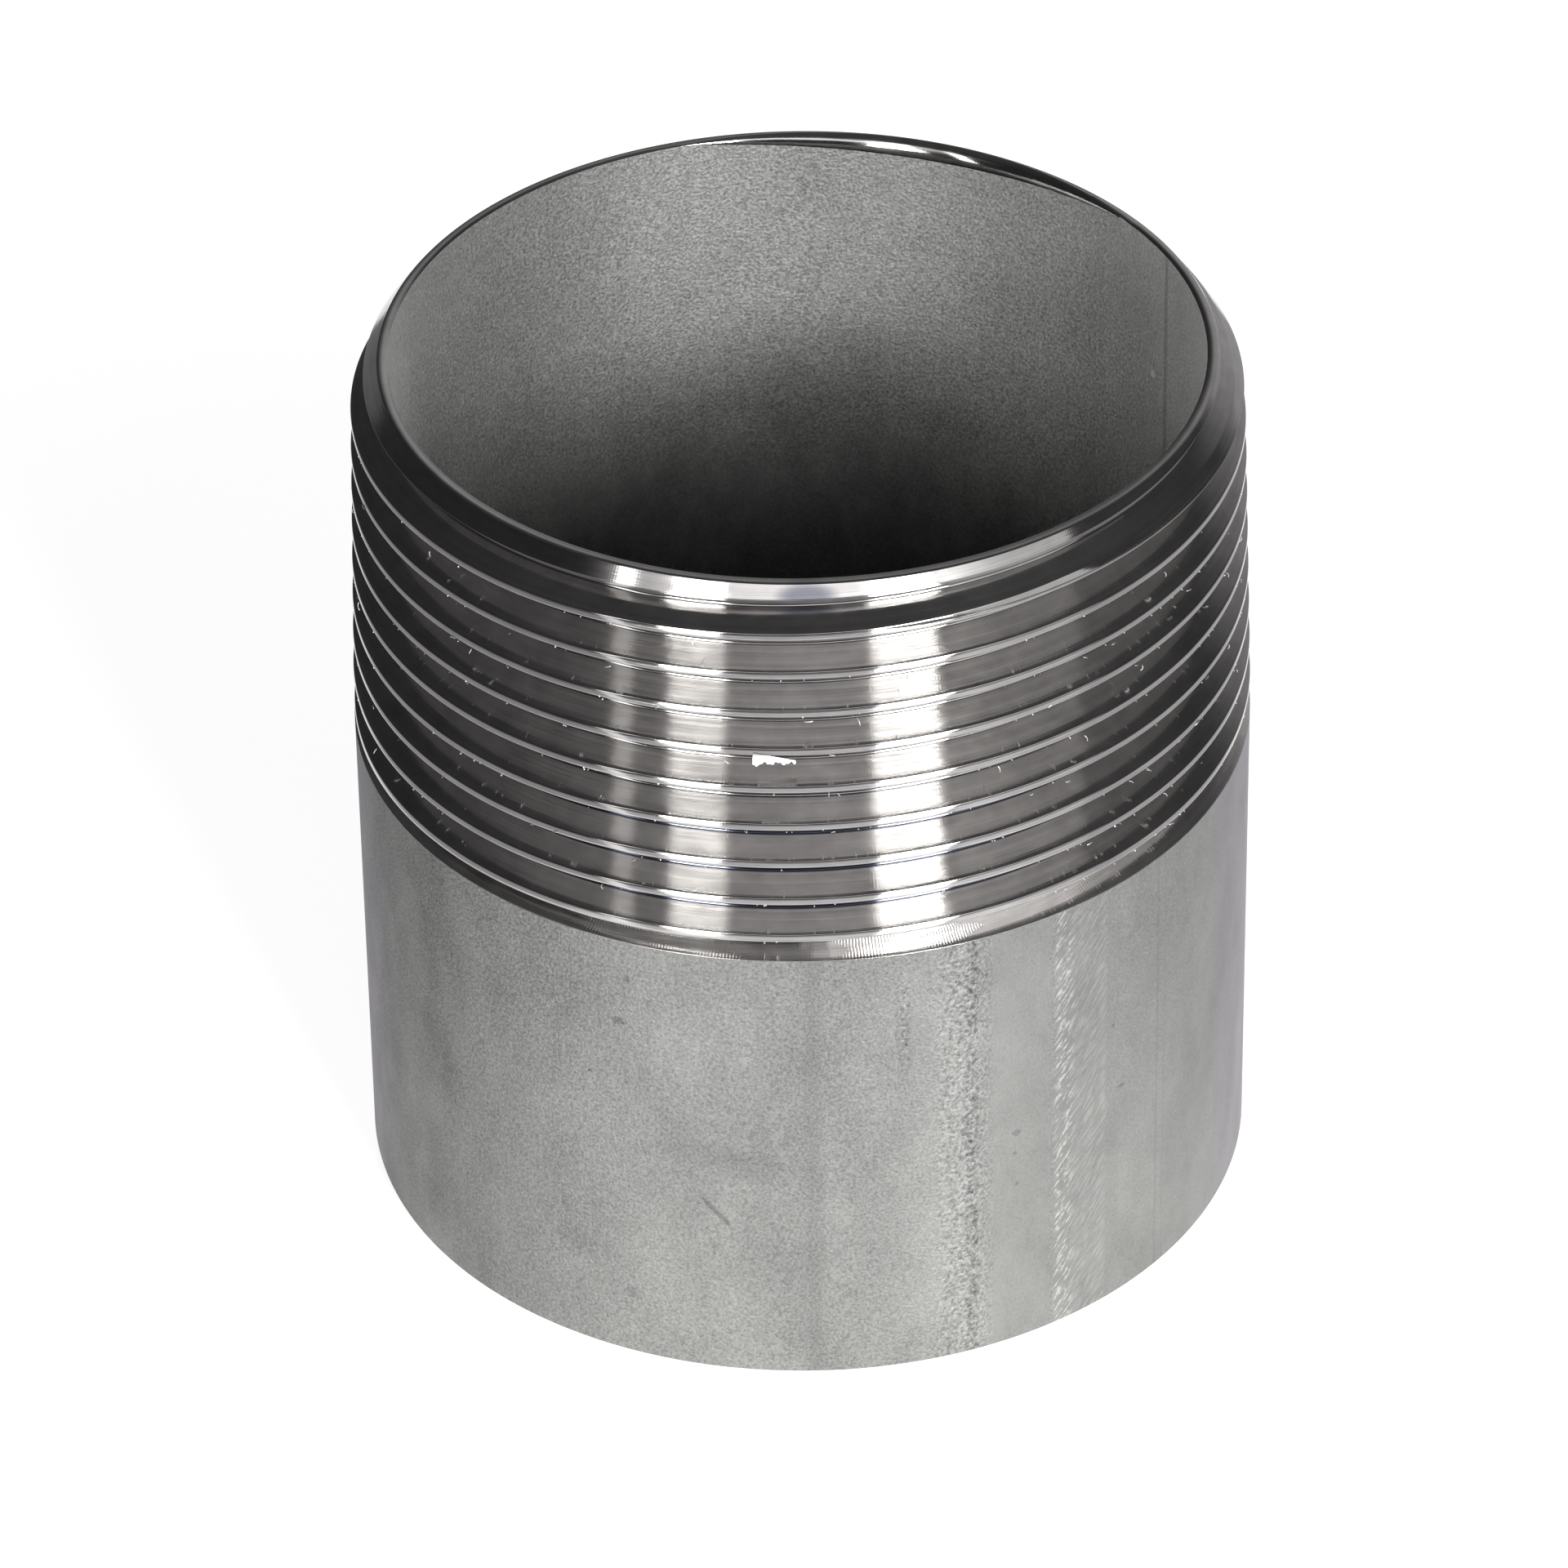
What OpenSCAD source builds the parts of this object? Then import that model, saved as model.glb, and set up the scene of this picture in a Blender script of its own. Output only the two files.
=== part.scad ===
// Weld nipple: a length of welded stainless tube with a tapered
// male pipe thread on its upper end and a plain end to weld below.
// The axis is Z, and the plain end stands on z = 0.

/* [Tube] */
// Outside diameter of the tube
tube_od = 48.3; // [45:0.1:52]
// Wall thickness of the tube
tube_wall = 2.6; // [2.5:0.05:2.7]
// Length over both ends
length = 49.5; // [40:0.5:120]

/* [Thread] */
// Threads in one inch
threads_per_inch = 11; // [10:1:12]
// How much the major diameter at the gauge plane is under the tube's
gauge_allowance = 0.497; // [0.3:0.001:0.7]
// Distance of the gauge plane from the threaded end
gauge_length = 12.7; // [11:0.1:14]
// Length of tube over which the diameter grows by one
taper_ratio = 16; // [14:1:24]
// Angle between the two flanks of the thread
thread_angle = 55; // [55:1:60]
// Depth of the thread, as a share of the pitch
depth_ratio = 0.6403; // [0.58:0.005:0.645]
// Width of the flat on the crest
crest_flat = 0.39; // [0.2:0.01:0.5]
// Length of tube from the threaded end to the last cut
thread_length = 22.2; // [16:0.1:26]
// Direction in which the crest leaves the end face
thread_start = 260; // [0:1:359]
// Slope of the last cut, as depth for each millimetre of length
runout_slope = 1.2; // [0.8:0.1:1.8]
// Depth to which the tube is skimmed at the last cut
skim = 0.03; // [0.02:0.01:0.1]

/* [Threaded end] */
// Width of the flat rim around the bore
rim_flat = 0.55; // [0.3:0.05:0.6]
// Length of the cone that leads into the thread
lead_length = 2; // [1:0.1:2.5]

/* [Dressed mouth] */
// Direction of the spot where the mouth of the bore was dressed
dressing_direction = 70; // [0:1:359]
// Depth of the dressed spot, along the bore
dressing_depth = 0.9; // [0.5:0.1:1.5]
// Width of the dressed spot, across the rim
dressing_width = 0.45; // [0.2:0.05:0.5]
// Half of the arc that the dressed spot covers
dressing_half_arc = 38; // [20:1:60]

/* [Hidden] */

mm_per_inch = 25.4;
facets_round = 96;
overshoot = 1;
hair = 0.001;

tube_r = tube_od / 2;
bore_r = tube_r - tube_wall;
rim_r = bore_r + rim_flat;

pitch = mm_per_inch / threads_per_inch;
depth = depth_ratio * pitch;
flank_slope = tan(thread_angle / 2);
// Crest radius at the threaded end, and its growth for each millimetre down
end_crest_r = (tube_od - gauge_allowance - gauge_length / taper_ratio) / 2;
crest_growth = 1 / (2 * taper_ratio);

skimmed_r = tube_r - skim;
thread_end_z = length - thread_length;
lead_slope = lead_length / (end_crest_r + lead_length * crest_growth - rim_r);
turns = ceil(thread_length / pitch) + 1;

// Radius of the crest cone at a height, before anything cuts it
function crest_r(z) = end_crest_r + (length - z) * crest_growth;

// Radius of the last cut's floor at a height
function floor_r(z) = skimmed_r - (z - thread_end_z) * runout_slope;

// Radius of the cone that leads into the thread, at a height
function lead_r(z) = rim_r + (length - z) / lead_slope;

// Corners of an outline kept between the rim and the last cut
function kept(p) =
    p[1] >= length || p[0] > lead_r(p[1]) + hair ? [rim_r, length] :
    p[1] <= thread_end_z ? [skimmed_r, thread_end_z] : p;

// An edge of a crest, where its flank meets the crest, the tube's skimmed surface
// or the lead cone. The side is 1 for the upper edge and -1 for the lower edge.
function crest_edge(z, side) =
    let (r0 = crest_r(z),
         r1 = min(r0, skimmed_r),
         z1 = z + side * (r0 - r1) * flank_slope,
         cut = (r1 - lead_r(z1)) / (1 - side * flank_slope / lead_slope))
    cut <= 0 ? [r1, z1] :
    cut < depth ? [r1 - cut, z1 + side * cut * flank_slope] : [rim_r, length];

// The place on a crest below which the lead cone no longer cuts it
function lead_edge(z_upper, z_lower) =
    let (r = min(crest_r(z_lower), skimmed_r),
         z = length - (r - rim_r) * lead_slope)
    z < z_upper && z > z_lower ? [r, z] : [];

// The upper corner of a root, on the flank of the crest above it
function root_top(z) =
    let (r = crest_r(z) - depth,
         zr = z - depth * flank_slope,
         short = floor_r(zr) - r,
         rise = short / (1 + runout_slope * flank_slope))
    short > 0 ? [r + rise, zr + rise * flank_slope] : [r, zr];

// The lower corner of a root, on the flank of the crest below it
function root_bottom(z) =
    let (r = crest_r(z) - depth,
         zr = z + depth * flank_slope,
         short = floor_r(zr) - r,
         rise = short / (1 - runout_slope * flank_slope))
    short <= 0 ? [r, zr] :
    r + rise < skimmed_r ? [r + rise, zr - rise * flank_slope] :
    [skimmed_r, thread_end_z];

// Outline of one turn, from the upper edge of its crest to the next crest
function turn_outline(z) =
    let (z_upper = z + crest_flat / 2,
         z_lower = z - crest_flat / 2,
         a = crest_edge(z_upper, 1),
         b = lead_edge(z_upper, z_lower),
         c = crest_edge(z_lower, -1))
    [a, len(b) > 0 ? b : a, c,
     root_top(z_lower), root_bottom(z_upper - pitch)];

// Outline of the whole thread at one direction, from the rim down
function outline(turned) = concat(
    [[rim_r, length]],
    [for (k = [0:turns]) for (p = turn_outline(length - (k - turned) * pitch)) kept(p)],
    [[skimmed_r, thread_end_z], [skimmed_r, thread_end_z - overshoot]]);

// The threaded end as one solid, its outlines joined all the way round
module threaded_blank() {
    outlines = [for (i = [0:facets_round - 1]) outline(i / facets_round)];
    rows = len(outlines[0]);
    points = [for (i = [0:facets_round - 1]) for (p = outlines[i])
        let (a = thread_start + 360 * i / facets_round)
        [p[0] * cos(a), p[0] * sin(a), p[1]]];
    // Past the last outline each turn carries on as the turn before it
    function at(i, j) = i < facets_round ? i * rows + j : shifted(j);
    function shifted(j) = j == 0 ? 0 : j >= rows - 2 ? j : max(j - 5, 0);
    walls = [for (i = [0:facets_round - 1]) for (j = [0:rows - 2])
        for (f = [[at(i, j), at(i + 1, j), at(i + 1, j + 1)],
                  [at(i, j), at(i + 1, j + 1), at(i, j + 1)]])
        if (points[f[0]] != points[f[1]] && points[f[1]] != points[f[2]]
            && points[f[2]] != points[f[0]]) f];
    top = [for (i = [facets_round - 1:-1:0]) i * rows];
    bottom = [for (i = [0:facets_round - 1]) i * rows + rows - 1];
    polyhedron(points = points, faces = concat(walls, [top, bottom]), convexity = 10);
}

// A slim cone leant against one side of the bore's mouth
module mouth_dressing() {
    reach = dressing_width / (1 - cos(dressing_half_arc));
    cone_r = bore_r + dressing_width - reach;
    spread = dressing_width / dressing_depth;
    rotate([0, 0, dressing_direction])
        translate([reach, 0, length - dressing_depth])
            cylinder(r1 = cone_r - dressing_width,
                     r2 = cone_r + overshoot * spread,
                     h = dressing_depth + overshoot, $fn = facets_round);
}

module pipe_nipple() {
    color("silver")
        difference() {
            union() {
                cylinder(r = tube_r, h = thread_end_z, $fn = facets_round);
                threaded_blank();
            }
            translate([0, 0, -overshoot])
                cylinder(r = bore_r, h = length + 2 * overshoot, $fn = facets_round);
            mouth_dressing();
        }
}

pipe_nipple();
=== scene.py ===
# %% [markdown]
# # A weld nipple, half matte tube and half bright thread
# The real thing is a short length of welded stainless tube. One end was turned to a
# cone and cut with a tapered pipe thread, the other end was left plain, to be welded.
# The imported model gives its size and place. This script loads it as a fixed frame and
# dresses it: finer turns with rounded crests, and steel that shows how it was made.

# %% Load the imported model
import math

import bpy
from mathutils import Matrix, Vector


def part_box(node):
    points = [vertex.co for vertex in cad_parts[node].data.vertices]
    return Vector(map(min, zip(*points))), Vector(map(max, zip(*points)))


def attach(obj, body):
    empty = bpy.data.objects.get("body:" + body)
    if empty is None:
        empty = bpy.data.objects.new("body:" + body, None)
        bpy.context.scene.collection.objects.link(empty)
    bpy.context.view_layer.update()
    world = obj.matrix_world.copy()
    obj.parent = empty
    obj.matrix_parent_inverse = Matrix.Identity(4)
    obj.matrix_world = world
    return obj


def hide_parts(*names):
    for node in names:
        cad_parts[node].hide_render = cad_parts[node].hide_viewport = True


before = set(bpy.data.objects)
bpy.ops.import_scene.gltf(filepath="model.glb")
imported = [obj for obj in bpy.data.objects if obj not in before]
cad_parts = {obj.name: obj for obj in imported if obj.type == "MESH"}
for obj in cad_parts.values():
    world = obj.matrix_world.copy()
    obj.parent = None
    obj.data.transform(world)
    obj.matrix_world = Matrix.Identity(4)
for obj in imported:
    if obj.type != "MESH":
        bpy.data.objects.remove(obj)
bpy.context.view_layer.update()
low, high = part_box("pipe_nipple")
print("the packed nipple is", [round(1000 * (b - a), 3) for a, b in zip(low, high)], "mm")

# %% [markdown]
# ## Sizes
# All sizes are in millimetres, as a machinist would note them, and `MM` turns them into
# the metres that Blender works in. The overall length and diameter are read from the
# frame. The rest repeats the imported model, so the fine thread lies on the coarse one.
# Only the runout, where the cut leaves the tube, is steeper here, as the photo shows it.

# %% The nipple's sizes
MM = 0.001
length = (high.z - low.z) / MM
tube_r = (high.x - low.x) / 2 / MM
tube_wall = 2.6
bore_r = tube_r - tube_wall
pitch = 25.4 / 11
taper_ratio = 16
depth = 0.6403 * pitch
flank_slope = math.tan(math.radians(55 / 2))
crest_flat = 0.39
gauge_allowance = 0.497
gauge_length = 12.7
end_crest_r = (2 * tube_r - gauge_allowance - gauge_length / taper_ratio) / 2
thread_length = 22.2
thread_end_z = length - thread_length
thread_start = 260
runout_slope = 1.78
skimmed_r = tube_r - 0.03
rim_r = bore_r + 0.55
lead_length = 2
lead_slope = lead_length / (end_crest_r + lead_length / (2 * taper_ratio) - rim_r)
turns = math.ceil(thread_length / pitch) + 1
print("pitch", round(pitch, 4), "depth", round(depth, 4), "turns", turns)

# %% [markdown]
# ## Node trees written as sums
# Geometry Nodes and shaders share the Math node. A tree of fifty of them is hard to
# read, so `Field` wraps a socket and lets a formula be written as it would be on paper:
# each operator adds one Math node and returns its output as another `Field`.

# %% Fields: sums that build Math nodes
def feed(tree, socket, value):
    """Connects a field or a socket, or writes a plain number."""
    if isinstance(value, Field):
        tree.links.new(value.socket, socket)
    elif isinstance(value, bpy.types.NodeSocket):
        tree.links.new(value, socket)
    else:
        socket.default_value = value


class Field:
    """The output of a node, to be used in ordinary sums."""

    def __init__(self, tree, socket):
        self.tree = tree
        self.socket = socket

    def math(self, operation, *others):
        node = self.tree.nodes.new("ShaderNodeMath")
        node.operation = operation
        for socket, value in zip(node.inputs, (self, *others)):
            feed(self.tree, socket, value)
        return Field(self.tree, node.outputs[0])

    def __add__(self, other):
        return self.math("ADD", other)

    def __sub__(self, other):
        return self.math("SUBTRACT", other)

    def __mul__(self, other):
        return self.math("MULTIPLY", other)

    def __truediv__(self, other):
        return self.math("DIVIDE", other)

    def least(self, other):
        return self.math("MINIMUM", other)

    def most(self, other):
        return self.math("MAXIMUM", other)

    def above(self, other):
        return self.math("GREATER_THAN", other)

    __radd__ = __add__
    __rmul__ = __mul__

    def __rsub__(self, other):
        return (self * -1.0) + other


def mix(where, on, off):
    """The field on where the mask is 1, and off where it is 0."""
    return where * (on - off) + off


def new_node(tree, kind, settings=None, **inputs):
    """Adds a node, sets its properties and feeds its inputs by name."""
    node = tree.nodes.new(kind)
    for name, value in (settings or {}).items():
        setattr(node, name, value)
    for name, value in inputs.items():
        feed(tree, node.inputs[name.replace("_", " ")], value)
    return node


# %% [markdown]
# ## One corner of the thread
# Cut the thread with a plane through the axis, and each turn shows five corners: the
# crest's upper edge, a point on the crest, its lower edge, and the two corners of the
# root. Each is found in closed form, so the edges stay crisp where the lead cone or
# the runout crosses the thread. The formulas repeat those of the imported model.

# %% Node group: the place of one corner
SIZES = {
    "Pitch": pitch,
    "Depth": depth,
    "Flank slope": flank_slope,
    "Crest flat": crest_flat,
    "End crest radius": end_crest_r,
    "Crest growth": 1 / (2 * taper_ratio),
    "Length": length,
    "Skimmed radius": skimmed_r,
    "Thread end": thread_end_z,
    "Rim radius": rim_r,
    "Lead slope": lead_slope,
    "Runout slope": runout_slope,
}
CORNERS = 5
HAIR = 1e-6


def picked_parts(tree, which, points):
    """The radius and the height of the point whose number is given."""
    parts = []
    for part in (0, 1):
        switch = tree.nodes.new("GeometryNodeIndexSwitch")
        switch.data_type = "FLOAT"
        while len(switch.index_switch_items) < len(points):
            switch.index_switch_items.new()
        feed(tree, switch.inputs[0], which)
        for socket, point in zip(switch.inputs[1:], points):
            feed(tree, socket, point[part])
        parts.append(Field(tree, switch.outputs[0]))
    return parts


def add_inputs(tree, names):
    """Declares float inputs on a tree's interface."""
    for name in names:
        tree.interface.new_socket(name, in_out="INPUT", socket_type="NodeSocketFloat")


def make_corner_group():
    tree = bpy.data.node_groups.new("Thread corner", "GeometryNodeTree")
    add_inputs(tree, ["Corner", "Turned", *SIZES])
    for name in ("Radius", "Height"):
        tree.interface.new_socket(name, in_out="OUTPUT", socket_type="NodeSocketFloat")
    inlet = tree.nodes.new("NodeGroupInput")
    value = {s.name: Field(tree, s) for s in inlet.outputs if s.name}
    slope = value["Flank slope"]
    top = value["Length"]
    rim = value["Rim radius"]

    turn = (value["Corner"] / CORNERS).math("FLOOR")
    which = value["Corner"] - turn * CORNERS
    crest_z = top - (turn - value["Turned"]) * value["Pitch"]

    def crest_r(z):
        return value["End crest radius"] + (top - z) * value["Crest growth"]

    def lead_r(z):
        return rim + (top - z) / value["Lead slope"]

    def floor_r(z):
        return value["Skimmed radius"] - (z - value["Thread end"]) * value["Runout slope"]

    def crest_edge(z, side):
        r0 = crest_r(z)
        r1 = r0.least(value["Skimmed radius"])
        z1 = z + (r0 - r1) * slope * side
        lean = 1 - slope / value["Lead slope"] * side
        cut = ((r1 - lead_r(z1)) / lean).most(0.0)
        gone = cut.above(value["Depth"])
        return mix(gone, rim, r1 - cut), mix(gone, top, z1 + cut * slope * side)

    def root_corner(z, side):
        r = crest_r(z) - value["Depth"]
        zr = z - value["Depth"] * slope * side
        lean = 1 + slope * value["Runout slope"] * side
        rise = ((floor_r(zr) - r) / lean).most(0.0)
        gone = (r + rise).above(value["Skimmed radius"])
        return (
            mix(gone, value["Skimmed radius"], r + rise),
            mix(gone, value["Thread end"], zr + rise * slope * side),
        )

    upper = crest_z + value["Crest flat"] * 0.5
    lower = crest_z - value["Crest flat"] * 0.5
    edge_a = crest_edge(upper, 1.0)
    edge_c = crest_edge(lower, -1.0)
    flat_r = crest_r(crest_z).least(value["Skimmed radius"])
    cone_z = top - (flat_r - rim) * value["Lead slope"]
    mid_z = crest_z.least(cone_z).most(edge_c[1])
    mid_r = mix(mid_z.above(edge_c[1] + HAIR), flat_r, edge_c[0])
    roots = root_corner(lower, 1.0), root_corner(upper - value["Pitch"], -1.0)
    corners = [edge_a, (mid_r, mid_z), edge_c, *roots]

    outlet = tree.nodes.new("NodeGroupOutput")
    radius, height = picked_parts(tree, which, corners)
    beyond = height.above(top - HAIR).most(radius.above(lead_r(height) + 1e-3))
    below = value["Thread end"].above(height - HAIR) * (1 - beyond)
    radius = mix(beyond, rim, mix(below, value["Skimmed radius"], radius))
    height = mix(beyond, top, mix(below, value["Thread end"], height))
    feed(tree, outlet.inputs["Radius"], radius)
    feed(tree, outlet.inputs["Height"], height)
    return tree


corner_group = make_corner_group()
print("the corner group has", len(corner_group.nodes), "nodes")

# %% [markdown]
# ## The thread
# A flat grid is wrapped round the axis. Its columns are directions, and its rows walk
# down the corners, three rows to a corner, so that each edge gets a small curve. After
# one whole turn every corner has become the one above it, so the grid's two sides meet,
# and Merge by Distance closes the seam and drops the rows that the ends cut away.

# %% Node tree: the threaded surface
COLUMNS = 360
ROWS_PER_CORNER = 3
CREST_ROUND = 0.06
ROOT_ROUND = 0.1


def wrap_round(tree, mesh, angle, radius, height):
    """A Set Position node that puts each vertex at an angle, a radius and a height."""
    x = radius * angle.math("COSINE")
    y = radius * angle.math("SINE")
    place = new_node(tree, "ShaderNodeCombineXYZ", X=x * MM, Y=y * MM, Z=height * MM)
    moved = new_node(tree, "GeometryNodeSetPosition", Geometry=mesh, Position=place.outputs[0])
    return moved.outputs["Geometry"]


def grid_places(tree):
    """A grid's column and row as fields, counted from 0."""
    position = tree.nodes.new("GeometryNodeInputPosition")
    split = new_node(tree, "ShaderNodeSeparateXYZ", Vector=position.outputs[0])
    return Field(tree, split.outputs["X"]), Field(tree, split.outputs["Y"])


def numbered_grid(tree, columns, rows):
    """A grid one unit apart whose lowest corner is at 0, 0."""
    grid = new_node(tree, "GeometryNodeMeshGrid")
    feed(tree, grid.inputs["Size X"], float(columns))
    feed(tree, grid.inputs["Size Y"], float(rows - 1))
    feed(tree, grid.inputs["Vertices X"], columns + 1)
    feed(tree, grid.inputs["Vertices Y"], rows)
    shift = new_node(
        tree,
        "GeometryNodeTransform",
        Geometry=grid.outputs["Mesh"],
        Translation=(columns / 2, (rows - 1) / 2, 0.0),
    )
    return shift.outputs["Geometry"]


def toward(here, there, reach):
    """A point at most `reach` from here on the way to there, and never past halfway."""
    dr = there[0] - here[0]
    dz = there[1] - here[1]
    far = (dr * dr + dz * dz).math("SQRT").most(HAIR)
    share = (reach / far).least(0.5)
    return here[0] + dr * share, here[1] + dz * share


def threaded_surface(tree, value):
    rows = CORNERS * ROWS_PER_CORNER * (turns + 1)
    mesh = numbered_grid(tree, COLUMNS, rows)
    column, row = grid_places(tree)
    row = row.math("ROUND")
    turned = column.math("ROUND") / float(COLUMNS)
    corner = (row / float(ROWS_PER_CORNER) + 1e-4).math("FLOOR")
    step = row - corner * float(ROWS_PER_CORNER)

    def placed(number):
        node = tree.nodes.new("GeometryNodeGroup")
        node.node_tree = corner_group
        feed(tree, node.inputs["Corner"], number)
        feed(tree, node.inputs["Turned"], turned)
        for name in SIZES:
            feed(tree, node.inputs[name], value[name])
        return Field(tree, node.outputs["Radius"]), Field(tree, node.outputs["Height"])

    before, here, after = placed(corner - 1), placed(corner), placed(corner + 1)
    kind = corner - (corner / float(CORNERS) + 1e-4).math("FLOOR") * CORNERS
    at_root = kind.above(CORNERS - 2.5)
    reach = mix(at_root, value["Root round"], value["Crest round"])
    back = toward(here, before, reach)
    ahead = toward(here, after, reach)
    first = step.math("LESS_THAN", 0.5)
    last = step.above(1.5)
    out = []
    for part in (0, 1):
        middle = back[part] * 0.25 + here[part] * 0.5 + ahead[part] * 0.25
        out.append(mix(first, back[part], mix(last, ahead[part], middle)))
    angle = (turned * 360.0 + value["Thread start"]).math("RADIANS")
    wrapped = wrap_round(tree, mesh, angle, *out)
    return new_node(tree, "GeometryNodeFlipFaces", Mesh=wrapped).outputs["Mesh"]


print("the thread's grid has", CORNERS * ROWS_PER_CORNER * (turns + 1), "rows")

# %% [markdown]
# ## The bore, the rim and the plain end
# These are one lathe outline: rim, mouth of the bore, bore, foot and tube. At the back
# the mouth was dressed with a slim conical stone held against one side, which left a
# bright crescent. Where that cone meets the bore and the rim has a closed form too.

# %% Node tree: the turned surfaces
EDGE_BREAK = 0.12
DRESSING = {"Dressing direction": 70, "Dressing depth": 0.9, "Dressing width": 0.45}
DRESSING_HALF_ARC = 38


def turned_surface(tree, value):
    column, row = grid_places(tree)
    turned = column.math("ROUND") / float(COLUMNS)
    degrees = turned * 360.0 + value["Thread start"]
    angle = degrees.math("RADIANS")
    away = (degrees - value["Dressing direction"]).math("RADIANS")
    width, deep = value["Dressing width"], value["Dressing depth"]
    bore, top = value["Bore radius"], value["Length"]
    reach = width / (1 - math.cos(math.radians(DRESSING_HALF_ARC)))
    cone = bore + width - reach
    side = reach * away.math("SINE")
    along = reach * away.math("COSINE")
    far_r = along + (cone * cone - side * side).math("SQRT")
    reach_r = (bore * bore - bore * along * 2.0 + reach * reach).math("SQRT")
    mouth_r = far_r.most(bore)
    mouth_z = (top - (cone - reach_r) * deep / width).least(top - 1e-3)
    foot, tube = value["Edge break"], value["Tube radius"]
    rings = [
        (value["Rim radius"], top),
        (mouth_r, top),
        (bore, mouth_z),
        (bore, top * 0.5),
        (bore, foot),
        (bore + foot, 0.0),
        (tube - foot, 0.0),
        (tube, foot),
        (tube, value["Thread end"] * 0.5),
        (tube, value["Thread end"]),
        (value["Skimmed radius"], value["Thread end"]),
    ]
    mesh = numbered_grid(tree, COLUMNS, len(rings))
    return wrap_round(tree, mesh, angle, *picked_parts(tree, row.math("ROUND"), rings))


print("the dressed spot is", DRESSING["Dressing depth"], "mm deep")

# %% [markdown]
# ## One closed tube
# The two surfaces are joined and merged along the rings that they share. Then each zone
# gets its own steel: the thread is turned bright, the tube and the bore are pickled. The
# tree's result becomes a plain mesh, because only real meshes ride on the frame, and
# weighted normals keep broad faces flat beside small curves.

# %% Node tree: the whole tube
SEAM_DISTANCE = 2e-7


def make_shell_tree(materials):
    tree = bpy.data.node_groups.new("Threaded tube", "GeometryNodeTree")
    extra = ["Thread start", "Crest round", "Root round", "Tube radius", "Bore radius"]
    add_inputs(tree, [*SIZES, *extra, "Edge break", *DRESSING])
    tree.interface.new_socket("Geometry", in_out="OUTPUT", socket_type="NodeSocketGeometry")
    inlet = tree.nodes.new("NodeGroupInput")
    value = {s.name: Field(tree, s) for s in inlet.outputs if s.name}
    join = tree.nodes.new("GeometryNodeJoinGeometry")
    feed(tree, join.inputs[0], threaded_surface(tree, value))
    feed(tree, join.inputs[0], turned_surface(tree, value))
    merge = new_node(tree, "GeometryNodeMergeByDistance", Geometry=join.outputs[0])
    feed(tree, merge.inputs["Distance"], SEAM_DISTANCE)
    soft = new_node(tree, "GeometryNodeSetShadeSmooth", Geometry=merge.outputs[0])
    real = new_node(tree, "GeometryNodeRealizeInstances", Geometry=soft.outputs[0])
    position = tree.nodes.new("GeometryNodeInputPosition")
    split = new_node(tree, "ShaderNodeSeparateXYZ", Vector=position.outputs[0])
    x, y, z = (Field(tree, split.outputs[i]) / MM for i in range(3))
    radius = (x * x + y * y).math("SQRT")
    inside = (value["Bore radius"] + 0.02).above(radius)
    tube = value["Thread end"].above(z) * (1 - inside)
    zones = [(1.0, "turned"), (tube, "pickled"), (inside, "bore")]
    coated = real.outputs[0]
    for mask, name in zones:
        coat = new_node(tree, "GeometryNodeSetMaterial", Geometry=coated)
        coat.inputs["Material"].default_value = materials[name]
        if isinstance(mask, Field):
            feed(tree, coat.inputs["Selection"], mask)
        coated = coat.outputs[0]
    outlet = tree.nodes.new("NodeGroupOutput")
    feed(tree, outlet.inputs[0], coated)
    return tree


def built_by(tree, name, inputs):
    """Runs a tree on an empty mesh and returns its result as a plain mesh object."""
    seed = bpy.data.objects.new(name + "_seed", bpy.data.meshes.new(name + "_seed"))
    bpy.context.scene.collection.objects.link(seed)
    modifier = seed.modifiers.new(name, "NODES")
    sockets = [item for item in tree.interface.items_tree if item.in_out == "INPUT"]
    for item in sockets:
        item.default_value = inputs[item.name]
    modifier.node_group = tree
    for item in sockets:
        modifier[item.identifier] = item.default_value
    weigh = seed.modifiers.new("weigh", "WEIGHTED_NORMAL")
    weigh.weight = 100
    weigh.keep_sharp = True
    graph = bpy.context.evaluated_depsgraph_get()
    mesh = bpy.data.meshes.new_from_object(seed.evaluated_get(graph), depsgraph=graph)
    bpy.data.objects.remove(seed)
    piece = bpy.data.objects.new(name, mesh)
    bpy.context.scene.collection.objects.link(piece)
    print(name, "has", len(mesh.polygons), "faces")
    return piece


# %% [markdown]
# ## Places on the nipple, for the materials
# Finishes on turned and rolled parts run round the axis or along it. This node group
# turns Object coordinates into what a machinist would use: the direction round the axis
# in degrees, seen from above with 0 at the front, the radius and the height in
# millimetres, and how far along the thread's pitch a point lies, from 0 at a crest.

# %% Shader group: places round the axis
def new_group(name, inputs, outputs):
    """A shader group with float inputs and outputs, and its inputs as fields."""
    tree = bpy.data.node_groups.new(name, "ShaderNodeTree")
    for label, default in inputs.items():
        socket = tree.interface.new_socket(label, in_out="INPUT", socket_type="NodeSocketFloat")
        socket.default_value = default
    for label in outputs:
        tree.interface.new_socket(label, in_out="OUTPUT", socket_type="NodeSocketFloat")
    inlet = tree.nodes.new("NodeGroupInput")
    outlet = tree.nodes.new("NodeGroupOutput")
    return tree, {s.name: Field(tree, s) for s in inlet.outputs if s.name}, outlet


def use_group(tree, group, **inputs):
    """Places a group in a tree and returns its outputs as fields by name."""
    node = tree.nodes.new("ShaderNodeGroup")
    node.node_tree = group
    for name, value in inputs.items():
        feed(tree, node.inputs[name.replace("_", " ")], value)
    return {s.name: Field(tree, s) for s in node.outputs}


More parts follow.
